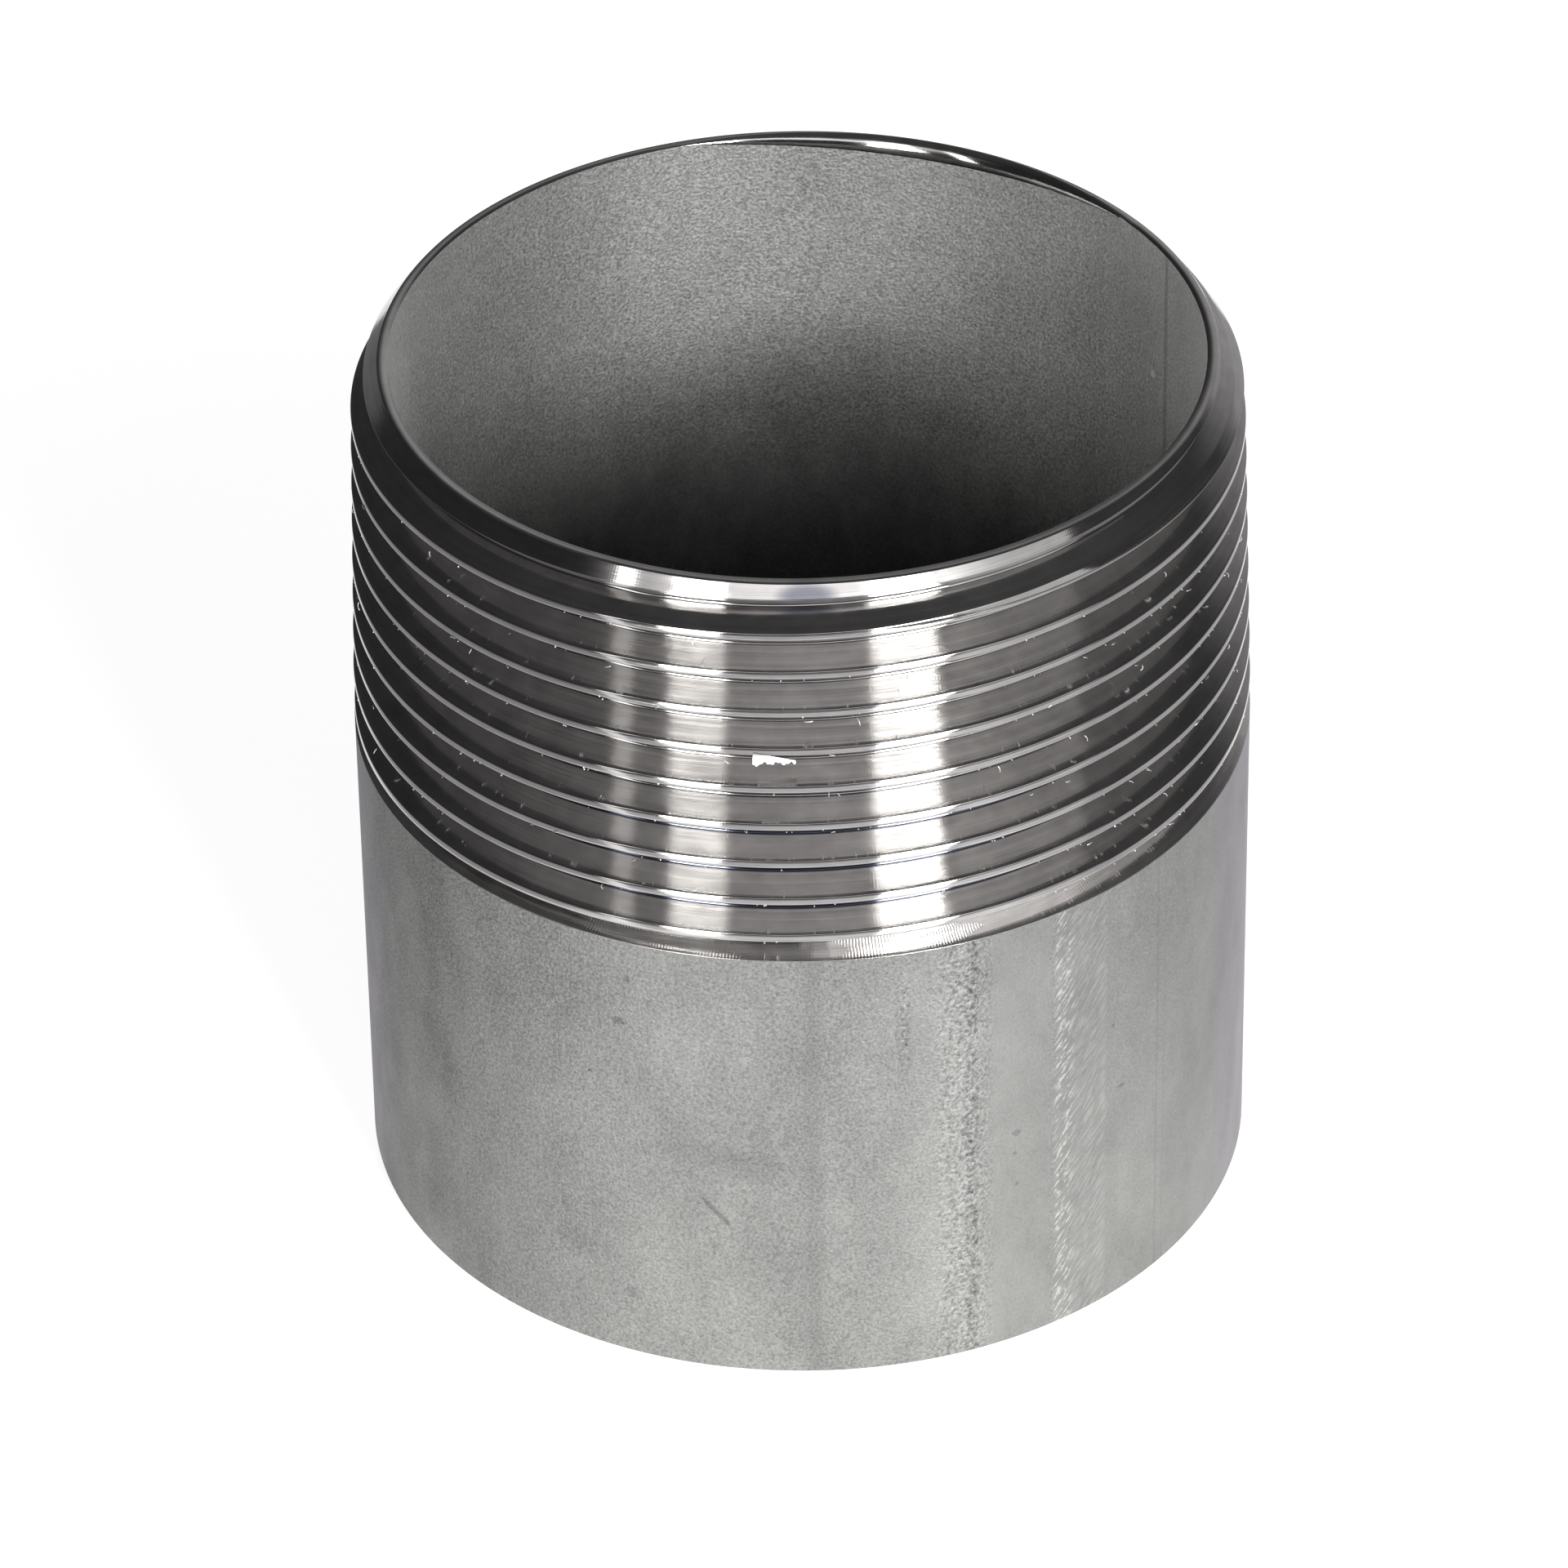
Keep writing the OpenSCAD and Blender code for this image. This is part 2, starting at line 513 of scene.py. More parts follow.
def make_place_group():
    tree, _, outlet = new_group(
        "Place round the axis", {}, ["Across", "Away", "Height", "Direction", "Radius", "Phase"]
    )
    point = tree.nodes.new("ShaderNodeTexCoord").outputs["Object"]
    split = new_node(tree, "ShaderNodeSeparateXYZ", Vector=point)
    x, y, z = (Field(tree, split.outputs[i]) / MM for i in range(3))
    direction = x.math("ARCTAN2", y * -1.0).math("DEGREES")
    radius = (x * x + y * y).math("SQRT")
    front = (270 - thread_start) % 360
    phase = ((length - z) / pitch + (direction + float(front)) / 360.0).math("FRACT")
    for name, field in zip(outlet.inputs.keys(), (x, y, z, direction, radius, phase)):
        if name:
            feed(tree, outlet.inputs[name], field)
    return tree


place_group = make_place_group()
print("the place group has", len(place_group.nodes), "nodes")

# %% [markdown]
# ## Masks and noise
# Most of a finish is a mask times an amount. A mask is 1 where it applies and fades
# softly to 0 at its border: a band round or up the tube, a spot, or streaks that lean.

# %% Helpers: masks, noise and colours
def smooth(value, low_end, high_end):
    """0 below one end, 1 above the other, and a soft slope between them."""
    node = new_node(
        value.tree,
        "ShaderNodeMapRange",
        {"interpolation_type": "SMOOTHSTEP", "clamp": True},
        Value=value,
    )
    feed(value.tree, node.inputs["From Min"], low_end)
    feed(value.tree, node.inputs["From Max"], high_end)
    return Field(value.tree, node.outputs["Result"])


def band(value, centre, half, soft):
    """1 inside a band round the centre, 0 outside, with soft borders."""
    off = (value - centre).math("ABSOLUTE")
    return 1 - smooth(off, half - soft, half + soft)


def spot(place, direction, height, wide, tall, soft=0.5, ragged=0.0):
    """An ellipse on the tube, 1 inside and 0 outside, at a direction and a height."""
    dx = (place["Direction"] - float(direction)) * (math.radians(tube_r) / wide)
    dz = (place["Height"] - float(height)) / tall
    return 1 - smooth(dx * dx + dz * dz + ragged, 1 - soft, 1 + soft)


def noise(tree, x, y, z, detail, rough):
    """A noise value round 0.5 at a place given by three fields."""
    place = new_node(tree, "ShaderNodeCombineXYZ", X=x, Y=y, Z=z)
    node = new_node(tree, "ShaderNodeTexNoise", Vector=place.outputs[0], Scale=1.0)
    node.inputs["Detail"].default_value = detail
    node.inputs["Roughness"].default_value = rough
    return Field(tree, node.outputs["Fac"])


def new_material(name):
    material = bpy.data.materials.new(name)
    material.use_nodes = True
    tree = material.node_tree
    return material, tree, tree.nodes["Principled BSDF"]


def tinted(tree, value, colour):
    """A colour scaled by a field."""
    parts = new_node(tree, "ShaderNodeCombineColor")
    for socket, amount in zip(parts.inputs, colour):
        feed(tree, socket, value * amount)
    return parts.outputs[0]


def two_tone(tree, where, on, amount, off):
    """The colour on where the mask is 1, and the colour off times an amount elsewhere."""
    parts = new_node(tree, "ShaderNodeCombineColor")
    for socket, bright, dull in zip(parts.inputs, on, off):
        feed(tree, socket, mix(where, bright, amount * dull))
    return parts.outputs[0]


def bumped(tree, height, distance_mm):
    """A normal with relief whose height is given as a share of a distance."""
    bump = new_node(tree, "ShaderNodeBump", Height=height, Distance=distance_mm * MM)
    return bump.outputs["Normal"]


print("a degree round the tube is", round(math.radians(tube_r), 3), "mm")

# %% [markdown]
# ## Fine turning lines
# A cutting tool leaves fine grooves side by side. They run round the part, so across
# them the noise changes within about a tenth of a millimetre, and along them hardly at
# all. On the thread they follow the helix: the phase gives the place across a groove.

# %% Shader group: turning lines
def make_lines_group():
    tree, value, outlet = new_group(
        "Turning lines", {"Across lines": 0.0, "Lines a mm": 8.0, "Drift": 0.012}, ["Lines"]
    )
    place = use_group(tree, place_group)
    drift = value["Drift"]
    fine = noise(
        tree,
        value["Across lines"] * value["Lines a mm"],
        place["Across"] * drift,
        (place["Away"] + place["Height"] * 4.0) * drift,
        detail=2.0,
        rough=0.7,
    )
    feed(tree, outlet.inputs["Lines"], fine)
    return tree


lines_group = make_lines_group()
print("the lines group has", len(lines_group.nodes), "nodes")

# %% [markdown]
# ## Pickled grain
# Acid takes the scale off a welded tube and leaves it matte, with a fine grain and with
# soft clouds where it bit more or less. Both are noise in the solid steel, so they run
# on over every edge without a seam.

# %% Shader group: pickled grain
def make_grain_group():
    tree, value, outlet = new_group(
        "Pickled grain", {"Grain mm": 0.16, "Cloud mm": 4.0}, ["Grain", "Cloud"]
    )
    place = use_group(tree, place_group)
    x, y, z = place["Across"], place["Away"], place["Height"]
    g = value["Grain mm"]
    grain = noise(tree, x / g, y / g, z / g, detail=1.0, rough=0.6)
    c = value["Cloud mm"]
    cloud = noise(tree, x / c, y / c, z / (c * 1.6), detail=3.0, rough=0.62)
    feed(tree, outlet.inputs["Grain"], grain)
    feed(tree, outlet.inputs["Cloud"], cloud)
    return tree


grain_group = make_grain_group()
print("the grain group has", len(grain_group.nodes), "nodes")

# %% [markdown]
# ## Turned steel
# The thread is bright, and each lamp draws a strip down it, because the fine lines
# spread a reflection across them and not along them. That is what Anisotropic does,
# with a tangent that runs round the axis. Painted shade darkens the roots, the tool
# chattered where it left the tube, and the lead is painted darker in front. The runout's
# colour is raised, to stand for light that reaches it by two bounces.

# %% Material: turned steel
TURNED = (0.50, 0.49, 0.475)
# Dark navy: painted shade in the thread's roots, and a dark spot on the lead in front
DARK_NAVY = (0.09, 0.10, 0.14)
CHATTER_DEGREES = 0.4
RUNOUT_TOP = 28.5


def make_turned_steel():
    material, tree, skin = new_material("turned_steel")
    place = use_group(tree, place_group)
    height, direction = place["Height"], place["Direction"]
    lines = use_group(tree, lines_group, Across_lines=place["Phase"] * pitch)["Lines"]
    smudge = noise(tree, direction * 0.2, place["Phase"] * 3.0, height * 0.7, 2.0, 0.6)
    wander = (height * 1.7).math("SINE") * 1.2 + (direction * 0.31).math("SINE") * 2.0
    chatter = (direction * (2 * math.pi / CHATTER_DEGREES) + wander).math("SINE") * 0.5
    on_thread = smooth(place["Radius"], bore_r + 0.9, bore_r + 1.0)
    below_crest = (height * -1.0 + length) / (2.0 * taper_ratio) + end_crest_r - place["Radius"]
    # Painted shade: the roots are darkened, where shade falls deep in the thread
    root = smooth(below_crest, depth * 0.88, depth * 0.95) * on_thread
    # A darker navy spot is painted on the lead in front
    front_dark_spot = spot(place, 0.6, 49.0, 1.5, 0.5, 0.8) * 0.75
    last_turn = height - direction * (pitch / 360.0)
    runout = 1 - smooth(last_turn, RUNOUT_TOP - 0.04, RUNOUT_TOP + 0.04)
    shade = ((lines - 0.5) * 0.45 + (smudge - 0.5) * 0.5 + 1.0) * (runout * 0.65 + 1.0)
    colour = two_tone(tree, root.most(front_dark_spot), DARK_NAVY, shade, TURNED)
    tree.links.new(colour, skin.inputs["Base Color"])
    feed(tree, skin.inputs["Roughness"], (smudge - 0.5) * 0.10 + 0.103)
    skin.inputs["Metallic"].default_value = 1.0
    skin.inputs["Anisotropic"].default_value = 0.8
    skin.inputs["Anisotropic Rotation"].default_value = 0.25
    tangent = new_node(tree, "ShaderNodeTangent", {"direction_type": "RADIAL", "axis": "Z"})
    tree.links.new(tangent.outputs[0], skin.inputs["Tangent"])
    near_end = 1 - smooth(height, thread_end_z + 1.1, thread_end_z + 1.5)
    ripple = chatter * (near_end * 0.5 + 0.03)
    tree.links.new(bumped(tree, lines + ripple, 0.005), skin.inputs["Normal"])
    return material


print("turned steel mirrors", TURNED)

# %% [markdown]
# ## Pickled steel, outside
# The tube tells how it was made. A weld runs up it, coarse and a little dark, and the
# rollers pressed the band beside it smooth. Then comes a strip where a belt ground it
# with slanting strokes, and past that are two fine drawing lines. The acid left a few
# stains. Directions are in degrees and heights in millimetres. The masks for the left
# and the right side don't match at the back, so a straight edge shows there.
# As painted shade, the left side, the foot and the front are darker; as painted light, the right is
# lighter.

# %% Marks on the tube
PICKLED = (0.335, 0.336, 0.324)
PICKLED_EDGE = (0.335, 0.321, 0.339)
WELD = 20.7
COARSE_SIDE = 19.3
FAINT_LINE = 11.9
CALM_BESIDE_WELD = 27.8
GROUND_STRIP = 36.6
FLECKS = 33.8
DRAWING_LINES = ((50.4, 0.8), (51.9, 0.4))
DASH = {"direction": -12.0, "height": 10.6, "lean": -48, "width": 0.13}
# Each stain's direction and height, its half width and half height, and its darkness
MARKS = [
    (-24.4, 22.1, 0.35, 0.25, 0.30),
    (-28.5, 18.3, 0.12, 0.12, 0.45),
    (-23.0, 25.0, 0.15, 0.2, 0.30),
    (-31.1, 6.7, 1.1, 0.9, 0.10),
    (-23.1, 4.1, 0.5, 0.35, 0.14),
    (26.9, 13.9, 0.28, 0.2, 0.22),
    (26.7, 12.6, 0.14, 0.12, 0.25),
    (27.0, 10.5, 0.12, 0.1, 0.30),
    (43.5, 13.9, 0.3, 0.12, 0.30),
    (42.0, 18.2, 0.14, 0.1, 0.30),
    (-6.4, 13.7, 1.6, 1.0, 0.08),
    (-14.0, 14.2, 2.6, 0.8, 0.08),
]


def slanted(place, lean, across, along):
    """Places across and along streaks that lean from the level, in their own sizes."""
    arc = place["Direction"] * math.radians(tube_r)
    c, s = math.cos(math.radians(lean)), math.sin(math.radians(lean))
    height = place["Height"]
    return (arc * s - height * c) / across, (arc * c + height * s) / along


def dash_mark(place):
    """One short slanting scratch."""
    lean, width = DASH["lean"], DASH["width"]
    across, _ = slanted(place, lean, width, 1.0)
    near = spot(place, DASH["direction"], DASH["height"], 1.1, 1.1, 0.4)
    home = math.radians(DASH["direction"] * tube_r)
    tilt = math.radians(lean)
    middle = (home * math.sin(tilt) - DASH["height"] * math.cos(tilt)) / width
    return near * (1 - smooth((across - middle).math("ABSOLUTE"), 0.6, 1.4))


print("the tube has", len(MARKS), "stains")

# %% Material: pickled steel, outside
def make_pickled_steel():
    material, tree, skin = new_material("pickled_steel")
    place = use_group(tree, place_group)
    direction, height = place["Direction"], place["Height"]
    grain = use_group(tree, grain_group)
    coarse = use_group(tree, grain_group, Grain_mm=0.26)["Grain"]
    left = 1 - smooth(direction, -70.0, -35.0)
    calm = band(direction, CALM_BESIDE_WELD, 4.3, 0.8).most(smooth(direction, 38.0, 42.0))
    lively = 1 - calm * 0.6
    weld = band(direction, WELD, 0.7, 0.35)
    seam = band(direction, COARSE_SIDE, 3.1, 1.2)
    faint = band(direction, FAINT_LINE, 0.7, 0.5) * band(height, 22.7, 3.0, 2.0)
    across, along = slanted(place, 50, 0.15, 1.1)
    stroke = noise(tree, across, along, 0.0, 1.0, 0.5)
    ground = band(direction, GROUND_STRIP, 4.1, 0.5)
    flecks = smooth(stroke * 0.6 + coarse * 0.4, 0.5, 0.62)
    flecks = flecks * band(direction, FLECKS, 1.4, 0.7)
    scratch = (smooth(stroke, 0.4, 0.7) * 0.26 + flecks * 0.62) * ground
    first, second = (band(direction, at, 0.2, 0.16) * amount for at, amount in DRAWING_LINES)
    lines = first + second
    streak = band(direction, 0.45, 1.0, 0.7)
    dark = weld * 0.13 + lines * 0.12 + streak * 0.07 + dash_mark(place) * 0.3 + faint * 0.05
    for mark_direction, mark_height, wide, tall, depth_of_tone in MARKS:
        mark = spot(place, mark_direction, mark_height, wide, tall, 0.6, (coarse - 0.5) * 3.0)
        dark = dark + mark * depth_of_tone
    # Painted shade and light: darker in a broad band in front, lighter past 40 degrees to the right
    dark = dark + band(direction, 4.0, 10.0, 6.0) * 0.1 - smooth(direction, 34.0, 44.0) * 0.1
    # Painted shade: the left side is darker, as the light falls from the right
    dark = dark + (1 - smooth(direction, -72.0, -18.0)) * 0.27
    # Painted shade: darker towards the foot
    dark = dark + (1 - smooth(height, 0.0, 30.0)) * 0.1
    speckle = (coarse - 0.5) * (seam * 1.25 + weld * 0.9 + faint * 1.5)
    mottle = (grain["Cloud"] - 0.5) * (left * 0.5 + 0.55)
    lively = lively * (1 - ground * 0.7)
    shade = (grain["Grain"] - 0.5) * 1.3 * lively + speckle + mottle + 1.0
    shade = (shade + scratch) * (1 - dark)
    violet = smooth(direction, 60.0, 75.0).most(1 - smooth(direction, -78.0, -64.0))
    colour = new_node(tree, "ShaderNodeCombineColor")
    for socket, plain, edge in zip(colour.inputs, PICKLED, PICKLED_EDGE):
        feed(tree, socket, shade * mix(violet, edge, plain))
    tree.links.new(colour.outputs[0], skin.inputs["Base Color"])
    rough = (grain["Grain"] - 0.5) * 0.3 + 0.58 - ground * 0.08
    feed(tree, skin.inputs["Roughness"], rough)
    skin.inputs["Metallic"].default_value = 1.0
    relief = grain["Grain"] * lively + coarse * (seam * 2.0 + weld + faint * 1.6)
    tree.links.new(bumped(tree, relief, 0.04), skin.inputs["Normal"])
    return material


print("pickled steel mirrors", PICKLED)

# %% [markdown]
# ## Pickled steel, inside
# The bore is the same steel, smoother and paler near its mouths. Its middle is painted
# darker, as shade deep inside the bore. The weld shows as one faint line.

# %% Material: pickled steel, inside
BORE = (0.70, 0.705, 0.685)
BORE_SHADE = (0.05, 0.06, 0.12)


def make_bore_steel():
    material, tree, skin = new_material("bore_steel")
    place = use_group(tree, place_group)
    grain = use_group(tree, grain_group, Cloud_mm=6.0)
    seam = band(place["Direction"], 113.2, 0.5, 0.3)
    dot = spot(place, 117.0, 41.3, 0.25, 0.25)
    shade = (grain["Grain"] - 0.5) * 0.8 + (grain["Cloud"] - 0.5) * 0.45 + 1.0
    # Painted shade: the middle of the bore is darker, where little light gets in
    dull = band(place["Height"] + (grain["Cloud"] - 0.5) * 5.0, 15.0, 12.5, 6.5) * 0.8
    shade = (shade * (1 - seam * 0.25) + dot * 0.5) * (1 - dull)
    colour = two_tone(tree, dull * 0.12, BORE_SHADE, shade, BORE)
    tree.links.new(colour, skin.inputs["Base Color"])
    feed(tree, skin.inputs["Roughness"], (grain["Grain"] - 0.5) * 0.2 + 0.5)
    skin.inputs["Metallic"].default_value = 1.0
    tree.links.new(bumped(tree, grain["Grain"], 0.02), skin.inputs["Normal"])
    return material


print("bore steel mirrors", BORE)

# %% [markdown]
# ## The tube takes its place
# The built tube hides the imported one, which stays behind it for collisions. It rides on
# the only body.

# %% Build the tube
steels = {
    "turned": make_turned_steel(),
    "pickled": make_pickled_steel(),
    "bore": make_bore_steel(),
}

shell_tree = make_shell_tree(steels)
shell_inputs = {
    **SIZES,
    **DRESSING,
    "Thread start": thread_start,
    "Crest round": CREST_ROUND,
    "Root round": ROOT_ROUND,
    "Tube radius": tube_r,
    "Bore radius": bore_r,
    "Edge break": EDGE_BREAK,
}
nipple = built_by(shell_tree, "threaded_tube", shell_inputs)
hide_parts("pipe_nipple")
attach(nipple, "root")

# %% [markdown]
# ## Burrs on the crests
# The die tore small slivers loose. They hang on the lower edges of the crests as bright
# specks and hooks, scattered by a fixed seed, and in front one ragged flap of metal was
# folded down.

# %% Node tree: where the burrs hang
def random_number(tree, low_end, high_end, seed):
    node = tree.nodes.new("FunctionNodeRandomValue")
    node.data_type = "FLOAT"
    feed(tree, node.inputs[2], low_end)
    feed(tree, node.inputs[3], high_end)
    feed(tree, node.inputs[8], seed)
    return Field(tree, node.outputs[1])


def scattered(tree, value, count, seed, shape, drop, small, large):
    """Copies of a shape on the crests' lower edges."""
    points = new_node(tree, "GeometryNodeMeshLine")
    feed(tree, points.inputs["Count"], count)
    turned = random_number(tree, 0.0, 1.0, seed)
    turn = random_number(tree, 2.0, 9.99, seed + 1).math("FLOOR")
    edge = value["Length"] - (turn - turned) * value["Pitch"] - value["Crest flat"] * 0.5
    height = edge - random_number(tree, 0.0, drop, seed + 2)
    radius = value["End crest radius"] + (value["Length"] - height) * value["Crest growth"]
    radius = radius.least(value["Skimmed radius"]) - 0.03
    angle = (turned * 360.0 + value["Thread start"]).math("RADIANS")
    placed = wrap_round(tree, points.outputs[0], angle, radius, height)
    lean = random_number(tree, -1.2, 1.2, seed + 3)
    tip = random_number(tree, -0.6, 0.6, seed + 4)
    twist = new_node(tree, "ShaderNodeCombineXYZ", X=lean, Y=tip, Z=angle)
    size = random_number(tree, small, large, seed + 5)
    put = new_node(tree, "GeometryNodeInstanceOnPoints", Points=placed, Instance=shape)
    feed(tree, put.inputs["Rotation"], twist.outputs[0])
    feed(tree, put.inputs["Scale"], size)
    return put.outputs[0]


print("burrs hang on the lower edges of the crests")

# %% Shapes: a hook and a flap
HOOK = {"Start": (0, 0, 0), "Middle": (0.13, 0.16, 0.0), "End": (0.04, 0.34, -0.17)}
HOOK_THICK = 0.026
FLAP = {"direction": -3.7, "height": 40.1, "size": (2.2, 0.07, 0.5)}


def hook_shape(tree):
    """A thin bent sliver that runs round and down from its root."""
    bend = tree.nodes.new("GeometryNodeCurveQuadraticBezier")
    feed(tree, bend.inputs["Resolution"], 6)
    for name, point in HOOK.items():
        bend.inputs[name].default_value = [c * MM for c in point]
    ring = tree.nodes.new("GeometryNodeCurvePrimitiveCircle")
    feed(tree, ring.inputs["Resolution"], 5)
    feed(tree, ring.inputs["Radius"], HOOK_THICK * MM)
    tube = new_node(tree, "GeometryNodeCurveToMesh", Curve=bend.outputs[0])
    feed(tree, tube.inputs["Profile Curve"], ring.outputs[0])
    feed(tree, tube.inputs["Fill Caps"], True)
    return tube.outputs[0]


def flap_shape(tree):
    """A thin plate with a ragged lower edge, hung on a crest in front."""
    plate = tree.nodes.new("GeometryNodeMeshCube")
    plate.inputs["Size"].default_value = [c * MM for c in FLAP["size"]]
    feed(tree, plate.inputs["Vertices X"], 24)
    position = tree.nodes.new("GeometryNodeInputPosition")
    split = new_node(tree, "ShaderNodeSeparateXYZ", Vector=position.outputs[0])
    x, z = Field(tree, split.outputs["X"]) / MM, Field(tree, split.outputs["Z"]) / MM
    jag = (x * 9.0).math("SINE") * 0.07 + (x * 23.0).math("SINE") * 0.05
    lift = ((x + 1.1) * 0.16 + jag) * (0.5 - z * 2.0)
    sag = (x.most(-0.3) + 0.3) * 0.14
    shift = new_node(tree, "ShaderNodeCombineXYZ", Z=(lift - sag) * MM)
    cut = new_node(tree, "GeometryNodeSetPosition", Geometry=plate.outputs["Mesh"])
    feed(tree, cut.inputs["Offset"], shift.outputs[0])
    turn = math.radians(FLAP["direction"])
    reach = end_crest_r + (length - FLAP["height"]) / (2 * taper_ratio) + 0.1
    place = (reach * math.sin(turn), -reach * math.cos(turn), FLAP["height"] - 0.24)
    hang = new_node(tree, "GeometryNodeTransform", Geometry=cut.outputs[0])
    hang.inputs["Translation"].default_value = [c * MM for c in place]
    hang.inputs["Rotation"].default_value = (math.radians(-28), math.radians(5), turn + 0.1)
    return hang.outputs[0]


print("the flap is", FLAP["size"][0], "mm wide")

# %% Build the burrs
SPECK_R = 0.05


def make_burr_tree(material):
    tree = bpy.data.node_groups.new("Burrs on the crests", "GeometryNodeTree")
    add_inputs(tree, [*SIZES, "Thread start"])
    for name in ("Specks", "Hooks", "Seed"):
        tree.interface.new_socket(name, in_out="INPUT", socket_type="NodeSocketInt")
    tree.interface.new_socket("Geometry", in_out="OUTPUT", socket_type="NodeSocketGeometry")
    inlet = tree.nodes.new("NodeGroupInput")
    value = {s.name: Field(tree, s) for s in inlet.outputs if s.name}
    ball = tree.nodes.new("GeometryNodeMeshIcoSphere")
    feed(tree, ball.inputs["Radius"], SPECK_R * MM)
    seed, ball = value["Seed"], ball.outputs["Mesh"]
    specks = scattered(tree, value, value["Specks"], seed, ball, 0.14, 0.3, 1.1)
    hooks = scattered(tree, value, value["Hooks"], seed + 10, hook_shape(tree), 0.5, 0.4, 1.2)
    join = tree.nodes.new("GeometryNodeJoinGeometry")
    for part in (specks, hooks, flap_shape(tree)):
        feed(tree, join.inputs[0], part)
    real = new_node(tree, "GeometryNodeRealizeInstances", Geometry=join.outputs[0])
    coat = new_node(tree, "GeometryNodeSetMaterial", Geometry=real.outputs[0])
    coat.inputs["Material"].default_value = material
    outlet = tree.nodes.new("NodeGroupOutput")
    feed(tree, outlet.inputs[0], coat.outputs[0])
    return tree


def make_torn_steel():
    """Fresh torn metal, paler than the turned crest."""
    material, tree, skin = new_material("torn_steel")
    skin.inputs["Base Color"].default_value = (0.9, 0.9, 0.88, 1)
    skin.inputs["Metallic"].default_value = 1.0
    skin.inputs["Roughness"].default_value = 0.4
    return material


burr_tree = make_burr_tree(make_torn_steel())
burr_inputs = {**SIZES, "Thread start": thread_start, "Specks": 420, "Hooks": 110, "Seed": 7}
burrs = built_by(burr_tree, "thread_burrs", burr_inputs)
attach(burrs, "root")

# %% [markdown]
# ## Camera
# The camera was fitted to the photo's edges: the rim, the crests and the tube's sides.
# It stands half a metre away and looks down by 35 degrees, through a long lens, and it
# leans by less than a degree.

# %% Camera
PHOTO_PIXELS = 1920
FOCAL_PIXELS = 10897.8
camera_data = bpy.data.cameras.new("camera")
camera = bpy.data.objects.new("camera", camera_data)
bpy.context.scene.collection.objects.link(camera)
bpy.context.scene.camera = camera
distance, tilt, roll = 483.789, math.radians(35.324), math.radians(-0.926)
eye = Vector((-1.059, -distance * math.cos(tilt), 21.506 + distance * math.sin(tilt)))
side0 = Vector((1, 0, 0))
up0 = Vector((0, math.sin(tilt), math.cos(tilt)))
ahead0 = Vector((0, math.cos(tilt), -math.sin(tilt)))
side1 = side0 * math.cos(roll) + up0 * math.sin(roll)
up1 = up0 * math.cos(roll) - side0 * math.sin(roll)
turn = Matrix((side1, up1, -ahead0)).transposed().to_4x4()
camera.matrix_world = Matrix.Translation(eye * MM) @ turn
camera_data.sensor_width = 36
camera_data.lens = 36 * FOCAL_PIXELS / PHOTO_PIXELS
camera_data.clip_start = 0.01
print("the lens is", round(camera_data.lens, 1), "mm")

# %% [markdown]
# ## Floor
# The photo's background is white, and yet the thread mirrors a dim room. So the floor is
# white only in a pool, from just in front of the nipple to far behind it. To either side
# and in front it is dim. The white is emission that only the camera and mirrored rays
# see, so the steel shows the pale floor too, but no lamp has to be turned up for it.

# %% Floor
POOL = {"front": -0.042, "fade": 0.014, "middle": -0.001, "half": 0.0425, "soft": 0.007}
POOL_WIDENS = 0.072
UNDER_TUBE = (0.0225, 0.0238)
FLOOR_SIZE = 3.0


def make_floor():
    mesh = bpy.data.meshes.new("floor")
    half = FLOOR_SIZE / 2
    low_z = -0.00002
    spots = [(-half, -half, low_z), (half, -half, low_z), (half, half, low_z), (-half, half, low_z)]
    mesh.from_pydata(spots, [], [(0, 1, 2, 3)])
    plane = bpy.data.objects.new("floor", mesh)
    bpy.context.scene.collection.objects.link(plane)
    material, tree, skin = new_material("pale_floor")
    skin.inputs["Roughness"].default_value = 0.025
    skin.inputs["IOR"].default_value = 3.4
    skin.inputs["Emission Color"].default_value = (1, 1, 1, 1)
    point = tree.nodes.new("ShaderNodeTexCoord").outputs["Object"]
    split = new_node(tree, "ShaderNodeSeparateXYZ", Vector=point)
    x, y = Field(tree, split.outputs["X"]), Field(tree, split.outputs["Y"])
    lit = smooth(y, POOL["front"] - POOL["fade"], POOL["front"])
    off = (x - POOL["middle"]).math("ABSOLUTE") - (y - POOL["front"]) * POOL_WIDENS
    lit = lit * (1 - smooth(off, POOL["half"], POOL["half"] + POOL["soft"]))
    far = (x * x + y * y).math("SQRT")
    outside = smooth(far, *UNDER_TUBE)
    lit = lit * outside
    beyond = (smooth(x, -0.14, 0.08) * 0.12 + 0.38) * (1 - smooth(far, 0.085, 0.125) * 0.6)
    colour = two_tone(tree, lit, (0.66, 0.66, 0.66), beyond, (1.0, 0.96, 1.07))
    tree.links.new(colour, skin.inputs["Base Color"])
    path = tree.nodes.new("ShaderNodeLightPath")
    seen = Field(tree, path.outputs["Is Camera Ray"]).most(path.outputs["Is Glossy Ray"])
    seen = seen.most(path.outputs["Is Transmission Ray"])
    dim = (smooth(x, -0.1, 0.1) * 0.16 + 0.18) * (1 - smooth(far, 0.085, 0.125) * 0.5)
    feed(tree, skin.inputs["Emission Strength"], seen * mix(lit, 0.76, dim * outside))
    mesh.materials.append(material)


make_floor()
print("the floor is", FLOOR_SIZE, "m wide")

# %% [markdown]
# ## World
# Round threads mirror the whole room, so the world is a dim room and not a flat grey. It
# has a paler wall behind, and a pale band in front, high up.

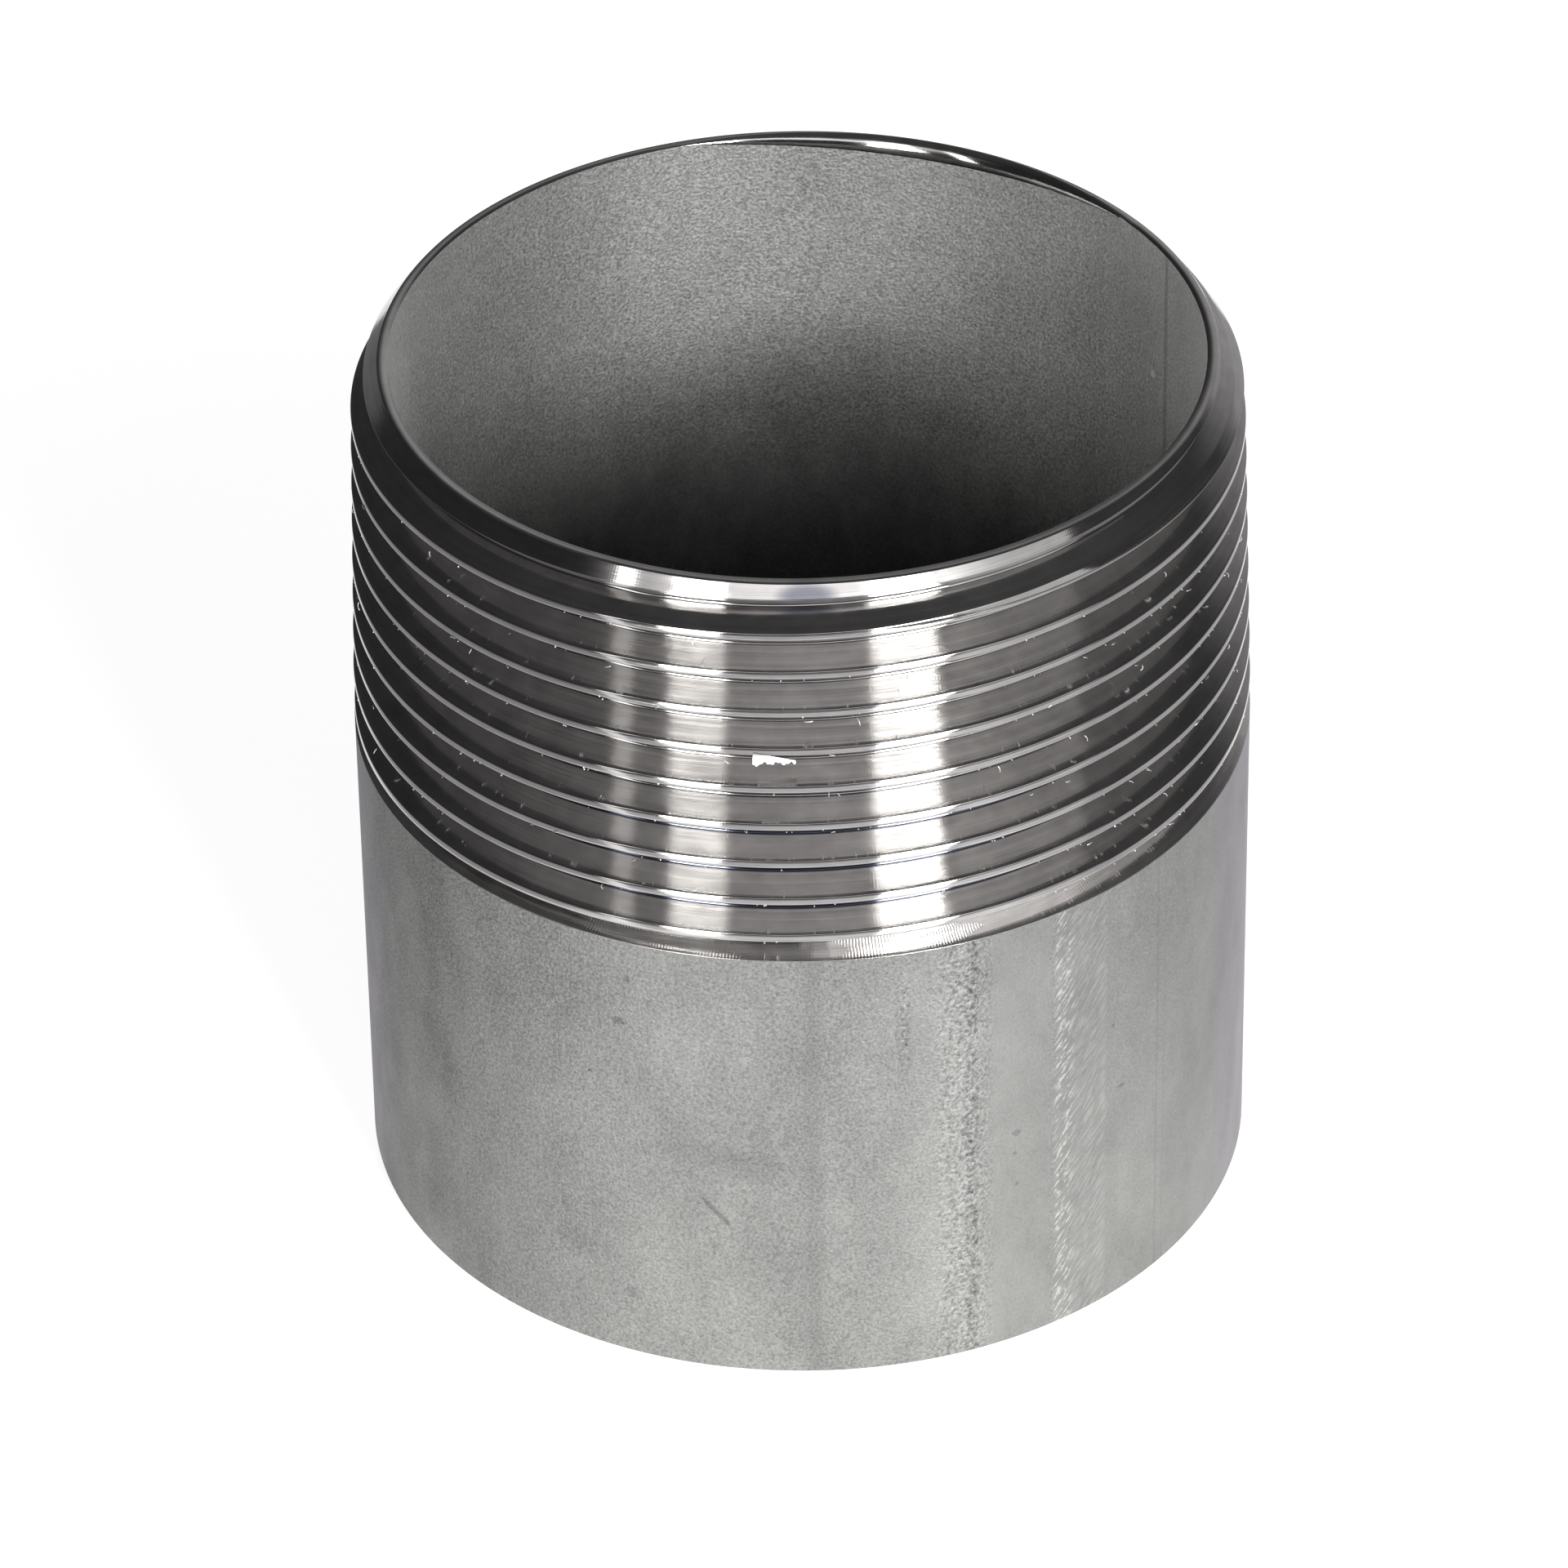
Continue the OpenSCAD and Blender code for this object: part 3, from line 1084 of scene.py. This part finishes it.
# %% World: a dim room
world = bpy.data.worlds.new("dim_room")
bpy.context.scene.world = world
world.use_nodes = True
tree = world.node_tree
sky = tree.nodes["Background"]
coords = tree.nodes.new("ShaderNodeTexCoord")
split = new_node(tree, "ShaderNodeSeparateXYZ", Vector=coords.outputs["Generated"])
across = Field(tree, split.outputs["X"])
away = Field(tree, split.outputs["Y"])
up = Field(tree, split.outputs["Z"])
level = smooth(up, 0.6, 1.0) * 0.03 + 0.045
level = level + smooth(away, 0.5, 0.9) * smooth(across, -0.5, 0.3) * 0.32
level = level + band(up, 0.6, 0.08, 0.06) * smooth(away * -1.0, 0.4, 0.78) * 1.9
level = level * (across * 0.35 + 1.0)
tree.links.new(tinted(tree, level, (1.0, 0.985, 1.01)), sky.inputs["Color"])
sky.inputs["Strength"].default_value = 1.0
print("the world has", len(tree.nodes), "nodes")

# %% [markdown]
# ## Lamps
# Two tall soft boxes stand in front, left and right, and draw the two bright strips down
# the thread. Each is split by height, so that its lower part can be the brighter one. A
# thin box further left gives a third, narrow strip, and a broad weak one fills the right
# side. All of them stand upright at the same distance.

# %% Lamps
LAMP_FAR = 1.5
# Name, direction in degrees, foot and head in metres, width in degrees, radiance
LAMPS = [
    ("box_left", -27.5, 0.81, 1.4, 14, 3.5),
    ("box_right", 26.5, 0.81, 1.4, 17, 6.0),
    ("middle_box_left", -27.5, 0.67, 0.80, 14, 10),
    ("middle_box_right", 26.5, 0.67, 0.80, 17, 28),
    ("low_box_left", -27.5, 0.44, 0.66, 14, 40),
    ("low_box_right", 26.5, 0.44, 0.66, 17, 60),
    ("thin_left", -47.5, 0.25, 1.4, 5, 3.0),
    ("fill_right", 56, 0.25, 1.4, 36, 0.72),
]


def standing_box(name, azimuth, foot, head, wide, radiance):
    """A flat lamp, so many degrees wide, between two heights, that faces the nipple."""
    a = math.radians(azimuth)
    x, y = LAMP_FAR * math.sin(a), -LAMP_FAR * math.cos(a)
    width = 2 * LAMP_FAR * math.tan(math.radians(wide / 2))
    start, end = Vector((x, y, foot)), Vector((x, y, head))
    aim = Vector((0, 0, length * MM / 2))
    middle = (start + end) / 2
    data = bpy.data.lights.new(name, "AREA")
    data.shape = "RECTANGLE"
    data.size = (end - start).length
    data.size_y = width
    data.energy = radiance * math.pi * data.size * width
    lamp = bpy.data.objects.new(name, data)
    bpy.context.scene.collection.objects.link(lamp)
    long = (end - start).normalized()
    back = (middle - aim).normalized()
    across = back.cross(long).normalized()
    facing = long.cross(across)
    turned = Matrix((long, across, facing)).transposed().to_4x4()
    lamp.matrix_world = Matrix.Translation(middle) @ turned


for lamp_row in LAMPS:
    standing_box(*lamp_row)
print("there are", len(LAMPS), "lamps")

# %% Finish
bpy.context.scene.view_settings.view_transform = "Standard"
